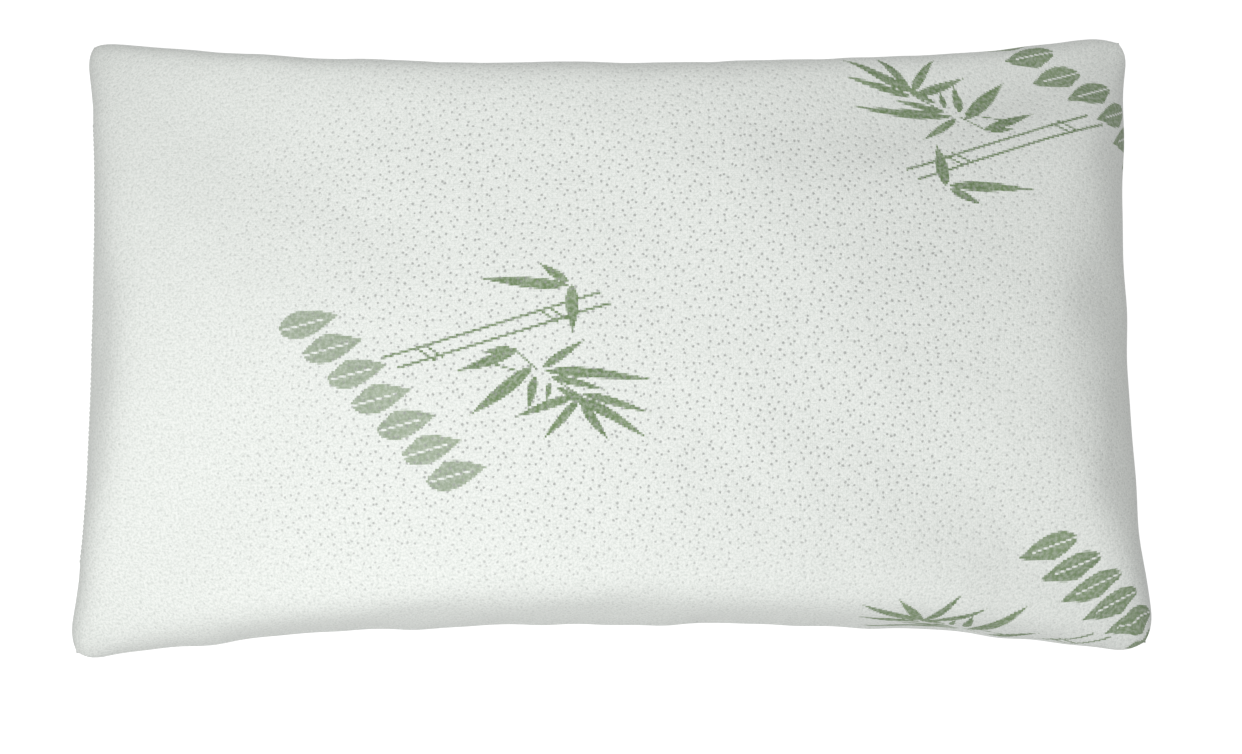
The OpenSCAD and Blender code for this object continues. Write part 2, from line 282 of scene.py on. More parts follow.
def stations(length, cells, step):
    """Fractional grid places across a panel: even, and closer near the seam."""
    near = np.array([0, 0.7, 1.4, 2.1, 3.0, 4.2, 6.0, 8.5]) / 1000      # distances from the seam
    inner = np.linspace(near[-1] + step, length - near[-1] - step, round(length / step) - 5)
    return np.concatenate([near, inner, length - near[::-1]]) / length * cells


def unit(v):
    return v / np.maximum(np.linalg.norm(v, axis=-1, keepdims=True), 1e-12)


def normals(grid):
    return unit(np.cross(np.gradient(grid, axis=0), np.gradient(grid, axis=1)))


def lumps(flat, seed, sizes):
    """Height of soft lumps under each point; sizes are pairs of height and lumps per metre."""
    return np.array([[sum(height * noise.noise((x * scale, y * scale, seed + k))
                          for k, (height, scale) in enumerate(sizes))
                      for x, y in row] for row in flat.tolist()])


def opening(y):
    """1 along the zip, where the seam is open, and 0 beyond its ends."""
    return 1 - smooth(ZIP_HALF - ZIP_FADE, ZIP_HALF + ZIP_FADE, abs(y))


class Skin:
    """One panel's outer face in detail: lumps, the seam's groove and the zip's lips."""

    def __init__(self, grid, flat, side, step, groove, lip, sizes):
        nx, ny = grid.shape[0] - 1, grid.shape[1] - 1
        rows, columns = stations(SEWN_L, nx, step), stations(SEWN_W, ny, step)
        points = resampled(grid, rows, columns)
        self.side = side
        self.cloth = resampled(flat, rows, columns)
        to_end = np.minimum(rows, nx - rows)[:, None] * SEWN_L / nx
        to_side = np.minimum(columns, ny - columns)[None, :] * SEWN_W / ny
        self.from_seam = np.minimum(to_end, to_side)
        rise = lumps(self.cloth, 7.0 * side, sizes) * smooth(*LUMPS_GROW, self.from_seam)
        points += normals(points) * side * rise[..., None]
        on_end = to_end <= to_side
        on_zip = (rows < nx / 2)[:, None] & on_end & (lip > 0)
        self.open = np.where(on_zip, opening(points[..., 1]), 0)
        # at the seam the cloth turns inwards, so that the two panels meet in a groove
        turned = np.clip(1 - self.from_seam / GROOVE_WIDE, 0, 1) ** 2
        depth = turned * (groove + (LIP_TUCK - groove) * self.open)
        points[..., 0] -= np.where(on_end, np.sign(points[..., 0]) * depth, 0)
        points[..., 1] -= np.where(on_end, 0, np.sign(points[..., 1]) * depth)
        points[..., 2] += side * lip * self.open * np.clip(1 - self.from_seam / LIP_WIDE, 0, 1) ** 2
        points[..., 2] = np.maximum(points[..., 2], FLOOR_GAP)
        self.points = points
        # away from the corners the cloth slips along itself until it is evenly stretched
        for axis, length, share, away in ((0, SEWN_L, rows[:, None] / nx, to_side),
                                          (1, SEWN_W, columns[None, :] / ny, to_end)):
            reach = np.cumsum(np.linalg.norm(np.diff(points, axis=axis), axis=-1), axis=axis)
            reach = np.insert(reach, 0, 0, axis=axis) / reach.take([-1], axis=axis)
            self.cloth[..., axis] += (reach - share) * length * smooth(*SLIP_GROWS, away)

    def below(self, up_cloth, along, depth):
        """Places at depth inside the left end's cloth, up_cloth from the seam, at each Y in along."""
        under = self.points - normals(self.points) * self.side * depth
        columns = np.interp(along, self.points[0, :, 1], np.arange(self.points.shape[1]))
        strip = interpolated(under.swapaxes(0, 1), columns)
        from_end = self.cloth[:, self.cloth.shape[1] // 2, 0] + SEWN_L / 2
        rows = np.interp(up_cloth, from_end, np.arange(len(from_end)))
        low = np.floor(rows).astype(int)
        share = (rows - low)[..., None]
        column = np.arange(len(along))[:, None]
        return strip[column, low] * (1 - share) + strip[column, low + 1] * share

    def patch(self, x_range, y_range, step):
        """The part of the panel between two lines along and two across the flat cloth."""
        at = []
        for places, (start, end) in ((self.cloth[:, self.cloth.shape[1] // 2, 0], x_range),
                                     (self.cloth[self.cloth.shape[0] // 2, :, 1], y_range)):
            count = round((end - start) / step) + 1
            at.append(np.interp(np.linspace(start, end, count), places, np.arange(len(places))))
        return resampled(self.points, *at), resampled(self.cloth, *at)


# ---- meshes ----

def shell_mesh(name, outer, cloth, thick, side):
    """A closed sheet of cloth with its outer face given, and its flat places as UVs."""
    inner = outer - normals(outer) * side * np.broadcast_to(thick, outer.shape[:2])[..., None]
    nx, ny = outer.shape[0], outer.shape[1]
    number = np.arange(nx * ny).reshape(nx, ny)
    quads = np.stack([number[:-1, :-1], number[1:, :-1], number[1:, 1:], number[:-1, 1:]], axis=-1)
    quads = quads.reshape(-1, 4)
    ring = rim(number)
    edge = np.stack([ring, ring + nx * ny, np.roll(ring, -1) + nx * ny, np.roll(ring, -1)], axis=-1)
    faces = np.concatenate([quads, quads[:, ::-1] + nx * ny, edge])
    if side < 0:
        faces = faces[:, ::-1]
    mesh = bpy.data.meshes.new(name)
    points = np.concatenate([outer.reshape(-1, 3), inner.reshape(-1, 3)])
    mesh.from_pydata(points.tolist(), [], faces.tolist())
    places = np.tile(cloth.reshape(-1, 2), (2, 1))[faces.reshape(-1)]
    return finished(mesh, places)


def rim(grid):
    """The grid's outermost values, once round from its first corner."""
    return np.concatenate([grid[:-1, 0], grid[-1, :-1], grid[:0:-1, -1], grid[0, :0:-1]])


def finished(mesh, places):
    """Adds UVs in metres and smooth shading."""
    uv = mesh.uv_layers.new(name="fabric")
    uv.data.foreach_set("uv", np.asarray(places, np.float32).reshape(-1))
    mesh.polygons.foreach_set("use_smooth", [True] * len(mesh.polygons))
    mesh.update()
    return mesh


def tube_mesh(name, paths, radius, sides=6):
    """Round tubes along open paths, with UVs in metres along and round each."""
    angles = np.linspace(0, 2 * math.pi, sides + 1)
    cosines, sines = np.cos(angles[:-1])[:, None], np.sin(angles[:-1])[:, None]
    points, faces, places = [], [], []
    for path in paths:
        runs = unit(np.gradient(path, axis=0))
        reach = reach_along(path)
        across = np.cross(runs[0], (0.3, 0.5, 0.81))    # no path here starts this way
        number = len(points) * sides + np.arange(len(path) * sides).reshape(-1, sides)
        for point, run in zip(path, runs):
            across = unit(across - run * across.dot(run))
            points.append(point + radius * (cosines * across + sines * np.cross(run, across)))
        after = np.roll(number, -1, axis=1)
        quads = np.stack([number[:-1], after[:-1], after[1:], number[1:]], axis=-1)
        faces += quads.reshape(-1, 4).tolist() + [number[0][::-1].tolist(), number[-1].tolist()]
        u = np.stack([reach[:-1], reach[:-1], reach[1:], reach[1:]], axis=-1)[:, None, :]
        v = np.stack([angles[:-1], angles[1:], angles[1:], angles[:-1]], axis=-1)[None] * radius
        places.append(np.stack(np.broadcast_arrays(u, v), axis=-1).reshape(-1, 2))
        places.append(np.zeros((2 * sides, 2)))
    mesh = bpy.data.meshes.new(name)
    mesh.from_pydata(np.concatenate(points).tolist(), [], faces)
    return finished(mesh, np.concatenate(places))


def evenly(path, pitch):
    """The same path with its points evenly spaced, as near to pitch as a whole number gives."""
    reach = reach_along(path)
    return looked_up(np.linspace(0, reach[-1], round(reach[-1] / pitch) + 1), reach, path)


def whipped(path, pitch, wide, tall, points_per_turn=8):
    """A thread wound round a level path, as an overlocked edge is."""
    middle = evenly(path, pitch / points_per_turn)
    run = unit(np.gradient(middle, axis=0))
    across = np.stack([run[:, 1], -run[:, 0], np.zeros(len(run))], axis=-1)
    angle = 2 * math.pi * np.arange(len(middle)) / points_per_turn
    return middle + across * (wide * np.cos(angle))[:, None] + \
        np.array([0, 0, 1.0]) * (tall * np.sin(angle))[:, None]


def rounded_copy(node, name, radius):
    """A CAD node's shape with its edges rounded over."""
    body = bmesh.new()
    body.from_mesh(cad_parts[node].data)
    bmesh.ops.remove_doubles(body, verts=body.verts, dist=1e-6)
    bmesh.ops.dissolve_limit(body, angle_limit=math.radians(2), verts=body.verts, edges=body.edges)
    sharp = [edge for edge in body.edges
             if len(edge.link_faces) == 2 and edge.calc_face_angle() > math.radians(30)]
    bmesh.ops.bevel(body, geom=sharp, offset=radius, offset_type="OFFSET", segments=3, profile=0.5,
                    affect="EDGES", clamp_overlap=True)
    bmesh.ops.triangulate(body, faces=body.faces)
    mesh = bpy.data.meshes.new(name)
    body.to_mesh(mesh)
    body.free()
    mesh.polygons.foreach_set("use_smooth", [True] * len(mesh.polygons))
    mesh.set_sharp_from_angle(angle=math.radians(40))
    return mesh


# ---- materials ----

class Nodes:
    """Builds a node tree with short calls."""

    def __init__(self, tree):
        self.tree = tree

    def add(self, kind, **values):
        node = self.tree.nodes.new("ShaderNode" + kind)
        for name, value in values.items():
            setattr(node, name, value)
        return node

    def put(self, socket, value):
        if isinstance(value, bpy.types.NodeSocket):
            self.tree.links.new(value, socket)
        elif value is not None:
            socket.default_value = value

    def math(self, operation, a, b=None, c=None):
        node = self.add("Math", operation=operation)
        for socket, value in zip(node.inputs, (a, b, c)):
            self.put(socket, value)
        return node.outputs[0]

    def times(self, a, b):
        return self.math("MULTIPLY", a, b)

    def times_plus(self, a, b, c):
        return self.math("MULTIPLY_ADD", a, b, c)

    def vector(self, operation, a, b=None, scale=None):
        node = self.add("VectorMath", operation=operation)
        self.put(node.inputs[0], a)
        self.put(node.inputs[1], b)
        if scale is not None:
            self.put(node.inputs["Scale"], scale)
        return node.outputs["Value" if operation in ("DOT_PRODUCT", "LENGTH") else "Vector"]

    def split(self, vector):
        """A vector's X and Y."""
        parts = self.add("SeparateXYZ")
        self.put(parts.inputs[0], vector)
        return parts.outputs[0], parts.outputs[1]

    def flat(self, x, y):
        """A vector from X and Y."""
        whole = self.add("CombineXYZ")
        self.put(whole.inputs[0], x)
        self.put(whole.inputs[1], y)
        return whole.outputs[0]

    def cloth(self):
        """The point's place on the flat cloth, in millimetres."""
        uv = self.add("UVMap", uv_map="fabric").outputs[0]
        return self.vector("MULTIPLY", uv, (1000.0, 1000.0, 1000.0))

    def step(self, value, low, high):
        """0 below low and 1 above high, smooth between."""
        node = self.add("MapRange", interpolation_type="SMOOTHSTEP")
        for socket, v in zip(node.inputs, (value, low, high, 0.0, 1.0)):
            self.put(socket, v)
        return node.outputs[0]

    def mix(self, factor, a, b):
        node = self.add("Mix", data_type="RGBA")
        self.put(node.inputs[0], factor)
        self.put(node.inputs[6], a)
        self.put(node.inputs[7], b)
        return node.outputs[2]

    def cells(self, vector, scale, uneven, dimensions="2D"):
        """Distance to the nearest of many scattered points, in cells."""
        node = self.add("TexVoronoi", voronoi_dimensions=dimensions, feature="F1")
        self.put(node.inputs["Vector"], vector)
        self.put(node.inputs["Scale"], scale)
        self.put(node.inputs["Randomness"], uneven)
        return node.outputs["Distance"]

    def noise(self, vector, scale, detail=2.0, roughness=0.5, output=0):
        node = self.add("TexNoise")
        self.put(node.inputs["Vector"], vector)
        self.put(node.inputs["Scale"], scale)
        self.put(node.inputs["Detail"], detail)
        self.put(node.inputs["Roughness"], roughness)
        return node.outputs[output]

    def surface(self, colour, roughness, height, strength, fixed):
        """The shader, with what varies over the surface and what is the same all over it."""
        shader = self.tree.nodes["Principled BSDF"]
        bump = self.add("Bump")
        constants(bump, {"Strength": strength, "Distance": 0.001})
        self.put(bump.inputs["Height"], height)
        self.put(shader.inputs["Normal"], bump.outputs[0])
        self.put(shader.inputs["Base Color"], colour)
        self.put(shader.inputs["Roughness"], roughness)
        constants(shader, fixed)


def new_material(name):
    material = bpy.data.materials.new(name)
    material.use_nodes = True
    return material, Nodes(material.node_tree)


def grey(value):
    return (value, value, value, 1)


def constants(node, values):
    """Sets a node's own sockets to plain values."""
    for name, value in values.items():
        node.inputs[name].default_value = value


def leaf_group():
    """A node group: how far inside a leaf a point is, in millimetres, negative outside."""
    tree = bpy.data.node_groups.new("leaf", "ShaderNodeTree")
    for kind, names in (("Vector", ("Point", "Base", "Along", "Across")), ("Float", ("Width", "Bend"))):
        for name in names:
            tree.interface.new_socket(name=name, in_out="INPUT", socket_type="NodeSocket" + kind)
    tree.interface.new_socket(name="Inside", in_out="OUTPUT", socket_type="NodeSocketFloat")
    n = Nodes(tree)
    given = tree.nodes.new("NodeGroupInput").outputs
    from_base = n.vector("SUBTRACT", given["Point"], given["Base"])
    t = n.vector("DOT_PRODUCT", from_base, given["Along"])
    q = n.vector("DOT_PRODUCT", from_base, given["Across"])
    rest = n.math("SUBTRACT", 1.0, t)
    profile = n.times(n.math("POWER", n.math("MAXIMUM", t, 0.0), 0.7),
                      n.math("POWER", n.math("MAXIMUM", rest, 0.0), 1.2))
    bow = n.times(n.times(t, rest), given["Bend"])
    off = n.math("ABSOLUTE", n.math("SUBTRACT", q, bow))
    inside = n.math("SUBTRACT", n.times(profile, 3.5), off)
    outside_ends = n.math("MINIMUM", n.times(t, 20.0), n.times(rest, 20.0))
    inside = n.math("MINIMUM", inside, outside_ends)
    result = tree.nodes.new("NodeGroupOutput").inputs
    tree.links.new(n.times(inside, given["Width"]), result["Inside"])
    return tree


LEAF = leaf_group()


def leaf(n, point, base, tip, width, bend=0.0):
    """A leaf from base to tip; width is half its breadth, and all are in millimetres."""
    run = Vector((tip[0] - base[0], tip[1] - base[1], 0))
    node = n.add("Group", node_tree=LEAF)
    n.put(node.inputs["Point"], point)
    constants(node, {"Base": (base[0], base[1], 0), "Along": run / run.length_squared,
                     "Across": Vector((-run.y, run.x, 0)) / run.length / width,
                     "Width": width, "Bend": bend})
    return node.outputs[0]


def line(n, point, start, end, width):
    """A drawn line between two points, in millimetres."""
    run = Vector((end[0] - start[0], end[1] - start[1], 0))
    from_start = n.vector("SUBTRACT", point, (start[0], start[1], 0))
    t = n.vector("DOT_PRODUCT", from_start, run / run.length)
    q = n.vector("DOT_PRODUCT", from_start, Vector((-run.y, run.x, 0)) / run.length)
    side = n.math("SUBTRACT", width / 2, n.math("ABSOLUTE", q))
    ends = n.math("MINIMUM", t, n.math("SUBTRACT", run.length, t))
    return n.math("MINIMUM", side, ends)


def joined(n, parts):
    """The largest of many values, by pairs."""
    while len(parts) > 1:
        parts = [n.math("MAXIMUM", *parts[k:k + 2]) if k + 1 < len(parts) else parts[k]
                 for k in range(0, len(parts), 2)]
    return parts[0]


# One bamboo sprig in its own millimetres: a spray of leaves round a hub at the origin,
# a second spray beyond it, a culm drawn in outline and a small spray on the culm.
# Each leaf has its base, its tip, half its breadth and its bend.
SPRAYS = (
    ((-3, 4), (-42, -26), 4.2, 0.6), ((-1, -2), (-5, -23), 3.0, -0.4), ((3, 3), (30, 20), 2.7, 0.4),
    ((5, 1), (71, -5), 3.2, 0.7), ((9, -3), (43, -12), 2.3, 0.5), ((8, -6), (6, -18), 2.0, 0.2),
    ((12, -9), (46, -31), 2.2, 0.6), ((28, -14), (70, -26), 2.6, 0.6), ((29, -17), (68, -42), 2.9, 0.6),
    ((27, -18), (44, -43), 3.0, -1.0), ((26, -17), (3, -42), 2.8, 0.4),
    ((24, -15), (-15, -28), 2.8, -0.6),
    ((-12, 15), (-50, 2), 3.4, 0.7), ((-16, 16), (-34, 14), 2.0, 0.3),
    ((20, 55), (-35, 61), 3.4, 0.4), ((20, 57), (1, 70), 2.7, 0.2), ((22, 55), (22, 24), 4.0, 0.3),
)
CULM = (((-97, 11), (40, 50)), ((-86, 5), (46, 43)))
JOINTS = (((-74, 17), (-63, 9)), ((-69, 19), (-58, 11)), ((3, 39), (14, 31)), ((8, 41), (19, 33)))
TWIGS = (((-14, 15), (0, 2)), ((-30, 7), (-4, -1)), ((9, -3), (28, -16)))
CULM_LINE, JOINT_LINE, TWIG_LINE, VEIN_LINE = 1.7, 1.4, 1.1, 1.1  # how thick each is drawn

ROW_START = (-149.3, 42.8)        # a diagonal row of plain leaves beside the sprig
ROW_SLANT = math.radians(-46.8)
ROW_PITCH = 22.3
ROW_LEAVES = 7
ROW_LEAF = (19.5, 9.0)            # half of a leaf's length and of its breadth
ROW_TILT = math.radians(62)       # between a leaf and the row
REPEAT, SLIP = 337.0, -4.0        # the design repeats up the cloth, each row a little to one side
TURNED_LEAN = math.radians(6)     # how far the turned copies lean
STRETCHED = (1.033, 1.09)         # how far the filling stretches the middle of the cloth
KNIT_CELL = (1.1, 1.3, 1.0)       # the print's stitches: each is one colour
EDGE = 0.3                        # half the width over which ink fades out
ROW_INK, TURNED_SHADE = 0.74, 0.20  # how strong the row's ink is, and the painted shade that darkens the turned copies' rows, on the right, away from the light

# hubs of the upright and the turned sprigs, and the border between them, on each panel
DESIGNS = {1: ((-44.5, -33.5), (221.0, 135.0), 95.0),
           -1: ((-150.0, 44.0), (150.0, -40.0), -10.0)}


def print_place(n, cloth, left, right, border):
    """Where a point of the cloth lies in its own copy of the design, in millimetres.

    Copies left of the border stand upright over the hub left, and the others are turned round."""
    x, y = n.split(cloth)
    turned = n.math("GREATER_THAN", x, border)
    x = n.math("SUBTRACT", x, n.times_plus(turned, right[0] - left[0], left[0]))
    y = n.math("SUBTRACT", y, n.times_plus(turned, right[1] - left[1], left[1]))
    row = n.math("FLOOR", n.math("ADD", n.math("DIVIDE", y, REPEAT), 0.5))
    x = n.math("SUBTRACT", x, n.times(row, SLIP))
    y = n.math("SUBTRACT", y, n.times(row, REPEAT))
    lean = n.times(turned, math.sin(TURNED_LEAN))
    turn = n.times_plus(turned, -2.0, 1.0)
    place = n.flat(n.times(n.times_plus(y, lean, x), turn),
                   n.times(n.math("SUBTRACT", y, n.times(x, lean)), turn))
    return n.vector("MULTIPLY", place, (*STRETCHED, 1.0)), turned


def leaf_row(n, point):
    """The diagonal row of leaves, each with a bare vein."""
    cosine, sine = math.cos(ROW_SLANT), math.sin(ROW_SLANT)
    from_start = n.vector("SUBTRACT", point, (*ROW_START, 0.0))
    along = n.vector("DOT_PRODUCT", from_start, (cosine, sine, 0))
    across = n.vector("DOT_PRODUCT", from_start, (-sine, cosine, 0))
    number = n.math("FLOOR", n.math("DIVIDE", along, ROW_PITCH))
    number = n.math("MINIMUM", n.math("MAXIMUM", number, 0.0), ROW_LEAVES - 1.0)
    middle = n.times(n.math("ADD", number, 0.5), ROW_PITCH)
    in_row = n.flat(n.math("SUBTRACT", along, middle), across)
    tip = Vector((math.cos(ROW_TILT), math.sin(ROW_TILT))) * ROW_LEAF[0]
    shape = leaf(n, in_row, -tip, tip, ROW_LEAF[1], 0.25)
    vein = line(n, in_row, -tip, tip * 0.5, VEIN_LINE)
    return n.math("MINIMUM", shape, n.times(vein, -1.0))


def bamboo_print(n, cloth, design):
    """How much ink the knit carries at a point: the sprig in full, the leaf row fainter."""
    point, turned = print_place(n, n.vector("SNAP", cloth, KNIT_CELL), *design)
    parts = [leaf(n, point, *spray) for spray in SPRAYS]
    for lines, width in ((CULM, CULM_LINE), (JOINTS, JOINT_LINE), (TWIGS, TWIG_LINE)):
        parts += [line(n, point, *ends, width) for ends in lines]
    sprig = n.step(joined(n, parts), -EDGE, EDGE)
    row = n.step(leaf_row(n, point), -EDGE, EDGE)
    # painted shade: the turned copies' rows are inked darker
    row_ink_and_shade = n.times_plus(turned, TURNED_SHADE, ROW_INK)
    return n.math("MAXIMUM", sprig, n.times(row, row_ink_and_shade))


def knit_cover(name, design):
    """The jacquard knit, with pinholes, fine stitches and the printed bamboo design."""
    material, n = new_material(name)
    cloth = n.cloth()
    x, y = n.split(cloth)
    printed = bamboo_print(n, cloth, design)

    # pinholes, staggered and a little uneven
    pitch = 5.4
    skew = n.add("VectorRotate", rotation_type="Z_AXIS")
    n.put(skew.inputs["Vector"], cloth)
    n.put(skew.inputs["Angle"], math.radians(41))
    wander = n.vector("SCALE", n.noise(cloth, 1.0, 1.0, output="Color"), scale=1.1)
    uneven = n.vector("ADD", skew.outputs[0], wander)
    distance = n.times(n.cells(uneven, 1 / pitch, 0.75), pitch)
    hole_size = n.times_plus(n.noise(cloth, 0.21, 1.0), 1.1, 0.50)
    hole = n.math("SUBTRACT", 1.0, n.step(distance, 0.30, hole_size))
    # painted light: the holes, with their painted shade and their dimples, fade out towards the seams, as
    # bright light washes them out along the edges
    half_l, half_w = SEWN_L * 500, SEWN_W * 500
    along = n.math("ABSOLUTE", n.math("SUBTRACT", x, 32.0))
    from_middle = n.math("MAXIMUM", n.times(along, 1 / half_l),
                         n.times(n.math("ABSOLUTE", y), 1 / half_w))
    closed = n.step(n.times_plus(n.noise(cloth, 0.012, 1.0), 0.3, from_middle), 0.54, 0.99)
    hole = n.times(hole, n.times_plus(closed, -0.75, 1.0))
    speck = n.noise(cloth, 0.7, 3.0, 0.7)

    # the knit's own stitches and the soft swelling between the pinholes
    stitch = n.cells(cloth, 1 / 1.25, 0.28)
    puff = n.step(distance, 0.2, 3.2)

    # colour: greenish off-white, mottled a little, with painted shade in the holes, green where printed
    mottle = n.noise(cloth, 0.09, 4.0, 0.6)
    base = n.mix(mottle, (0.695, 0.735, 0.695, 1), (0.775, 0.805, 0.775, 1))
    # painted shade: darker in the gaps between the knit's stitches
    base = n.mix(n.times(stitch, 0.22), base, (0.60, 0.64, 0.60, 1))
    base = n.mix(n.step(speck, 0.38, 0.60), base, n.mix(0.65, base, (0.94, 0.96, 0.93, 1)))
    fade = n.noise(cloth, 0.035, 2.0)
    green = n.mix(fade, (0.105, 0.180, 0.070, 1), (0.235, 0.335, 0.165, 1))
    grain = n.step(n.noise(cloth, 0.45, 3.0), 0.3, 0.65)
    ink = n.times(printed, n.times_plus(grain, 0.30, 0.70))
    colour = n.mix(ink, base, green)
    # painted shade: the pinholes darkened to grey
    colour = n.mix(n.times(hole, 0.76), colour, (0.34, 0.35, 0.34, 1))

    # the sewing gathers the cloth into fine creases that run in from the seams
    height = n.times_plus(puff, 0.30, n.times(stitch, -0.26))
    for squeeze, across, seam in (((0.10, 0.012, 0.0), y, half_w), ((0.012, 0.10, 0.0), x, half_l)):
        crease = n.noise(n.vector("MULTIPLY", cloth, squeeze), 1.0, 2.0)
        near_seam = n.step(n.math("ABSOLUTE", across), seam - 45.0, seam)
        height = n.times_plus(n.times(crease, near_seam), 4.0, height)
    height = n.times_plus(hole, -0.40, height)
    n.surface(colour, n.times_plus(mottle, 0.14, 0.78), height, 0.5,
              {"Sheen Weight": 0.12, "Sheen Roughness": 0.45, "Specular IOR Level": 0.2})
    return material


def woven(name, light, dark, warp, weft, waves=0.0, sheen=0.1):
    """Plain weave: warp and weft are the threads' spacing in millimetres, waves its unevenness."""
    material, n = new_material(name)
    cloth = n.cloth()
    x, y = n.split(cloth)
    over = n.math("SINE", n.times(x, math.pi / warp))
    under = n.math("SINE", n.times(y, math.pi / weft))
    weave = n.math("ABSOLUTE", n.times(over, under))
    slub = n.noise(n.vector("MULTIPLY", cloth, (0.05, 1.2, 1.0)), 1.0, 2.0)
    # painted shade in the gaps between the threads, with uneven tone along the slubs
    shade = n.times_plus(slub, 0.5, n.times(weave, 0.5))
    height = n.times_plus(slub, 0.4, weave)
    if waves:
        height = n.times_plus(n.noise(cloth, 0.02, 3.0), waves, height)
    n.surface(n.mix(shade, (*dark, 1), (*light, 1)), n.times_plus(slub, 0.15, 0.72),
              height, 0.35, {"Sheen Weight": sheen, "Specular IOR Level": 0.25})
    return material


def spun_thread(name):
    """Polyester thread: two plies twisted round each other."""
    material, n = new_material(name)
    uv = n.add("UVMap", uv_map="fabric").outputs[0]
    slant = n.vector("DOT_PRODUCT", uv, (2 * math.pi / 0.0011, 2 * math.pi / 0.0014, 0))
    ply = n.times_plus(n.math("SINE", slant), 0.5, 0.5)
    fuzz = n.noise(uv, 2500.0, 2.0)
    # painted shade in the groove between the plies, with uneven tone from the fuzz
    shade = n.times_plus(fuzz, 0.4, n.times(ply, 0.6))
    colour = n.mix(shade, (0.60, 0.63, 0.60, 1), (0.86, 0.88, 0.85, 1))
    n.surface(colour, n.times_plus(fuzz, 0.2, 0.45), ply, 0.4, {"Sheen Weight": 0.15})
    return material


def nylon(name):
    """The zip's moulded spiral: slightly milky, with faint flow marks."""
    material, n = new_material(name)
    place = n.add("TexCoord").outputs["Object"]
    cloud = n.noise(place, 260.0, 3.0)
    marks = n.noise(place, 2600.0, 2.0)
    colour = n.mix(cloud, (0.72, 0.73, 0.70, 1), (0.86, 0.86, 0.83, 1))
    n.surface(colour, n.times_plus(marks, 0.25, 0.25), marks, 0.12,
              {"Specular IOR Level": 0.5, "Coat Weight": 0.1})
    return material


def plated_metal(name):
    """Tumbled nickel plate: fine scratches along the zip, and lighter along its sharp edges."""
    material, n = new_material(name)
    place = n.add("TexCoord").outputs["Object"]
    scratch = n.noise(n.vector("MULTIPLY", place, (9000.0, 500.0, 9000.0)), 1.0, 3.0)
    cloud = n.noise(place, 420.0, 3.0)
    # lighter along the sharp edges
    sharp_edges = n.step(n.add("NewGeometry").outputs["Pointiness"], 0.51, 0.58)
    base = n.mix(cloud, (0.26, 0.27, 0.28, 1), (0.40, 0.41, 0.42, 1))
    colour = n.mix(n.times(sharp_edges, 0.5), base, grey(0.62))
    n.surface(colour, n.times_plus(scratch, 0.26, 0.20), scratch, 0.08, {"Metallic": 1.0})
    return material


def torn_foam(name):
    """Shredded foam: each crumb its own pale colour, with painted shade in its open cells."""
    material, n = new_material(name)
    place = n.add("TexCoord").outputs["Object"]
    tint = n.add("Attribute", attribute_name="crumb").outputs["Color"]
    cells = n.cells(place, 1 / 0.0011, 1.0, "3D")
    # painted shade: each open cell darker round its middle
    dark = n.step(cells, 0.05, 0.45)
    shade = n.mix(n.times_plus(dark, 0.35, 0.65), (0.30, 0.26, 0.20, 1), tint)
    n.surface(shade, n.times_plus(cells, 0.1, 0.85), cells, 0.8, {"Specular IOR Level": 0.15})
    return material


# ---- the pieces ----

def add_piece(name, mesh, material, node, body="cover"):
    piece = link(name, mesh)
    piece.data.materials.append(material)
    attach(piece, body)
    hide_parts(node)
    return piece


def inset(grid, inside, side):
    """The grid moved inwards by inside, more in the middle of a face than along the seam."""
    reach = CROWN if side > 0 else SEAM_Z
    scale = np.array([1 - inside.x / HALF_L, 1 - inside.y / HALF_W, 1 - inside.z / reach])
    return (grid - (0, 0, SEAM_Z)) * scale + (0, 0, SEAM_Z)


def add_cover(grids, flat):
    skins = {}
    for node, grid, side in (("cover_top", grids[0], 1), ("cover_bottom", grids[1], -1)):
        name = node + "_knit"
        skin = Skin(grid, flat, side, FINE, GROOVE, LIP, COVER_LUMPS)
        # thinner where the edge is turned into the seam, and hemmed along the zip
        hem = np.maximum(smooth(0, 0.006, skin.from_seam), skin.open)
        mesh = shell_mesh(name, skin.points, skin.cloth, COVER_T * (0.35 + 0.65 * hem), side)
        piece = add_piece(name, mesh, knit_cover(name, DESIGNS[side]), node)
        skins[side] = skin
    return skins


def add_liner(grids, flat):
    cloth = woven("liner_cloth", (0.90, 0.90, 0.88), (0.74, 0.74, 0.72), 0.42, 0.48, 2.0)
    skins = {}
    for node, grid, side in (("liner_top", grids[0], 1), ("liner_bottom", grids[1], -1)):
        name = node + "_cloth"
        inside = inset(grid, LINER_IN, side)
        skin = Skin(inside, flat, side, LINER_FINE, LINER_GROOVE, 0, LINER_LUMPS)
        mesh = shell_mesh(name, skin.points, skin.cloth, LINER_T, side)
        add_piece(name, mesh, cloth, node)
        skins[side] = skin
    return skins


def add_seams(cover, liner, thread):
    """Overlocking round the cover, apart from the zip, and all round the liner."""
    path = rim(cover.points)
    start = int(np.argmax((path[:, 0] < ZIP_X / 2) & (abs(path[:, 1]) < ZIP_HALF)))
    path = np.roll(path, -start, axis=0)
    sewn = (path[:, 0] > ZIP_X + 0.02) | (abs(path[:, 1]) > ZIP_HALF + 0.004)
    sunk = 0.0004
    path = path[sewn] * (1 - sunk / HALF_L, 1 - sunk / HALF_W, 0) + (0, 0, SEAM_Z)
    inner = rim(liner.points) * (1, 1, 0) + (0, 0, SEAM_Z)
    inner = np.concatenate([inner, inner[:1]])
    for part, wound, radius in (("cover_seam", whipped(path, 0.0030, 0.0007, 0.0010), 0.00024),
                                ("liner_seam", whipped(inner, 0.0034, 0.0007, 0.0009), 0.00022)):
        mesh = tube_mesh(part + "_stitches", [wound], radius, 5)
        add_piece(part + "_stitches", mesh, thread, part + "_thread")


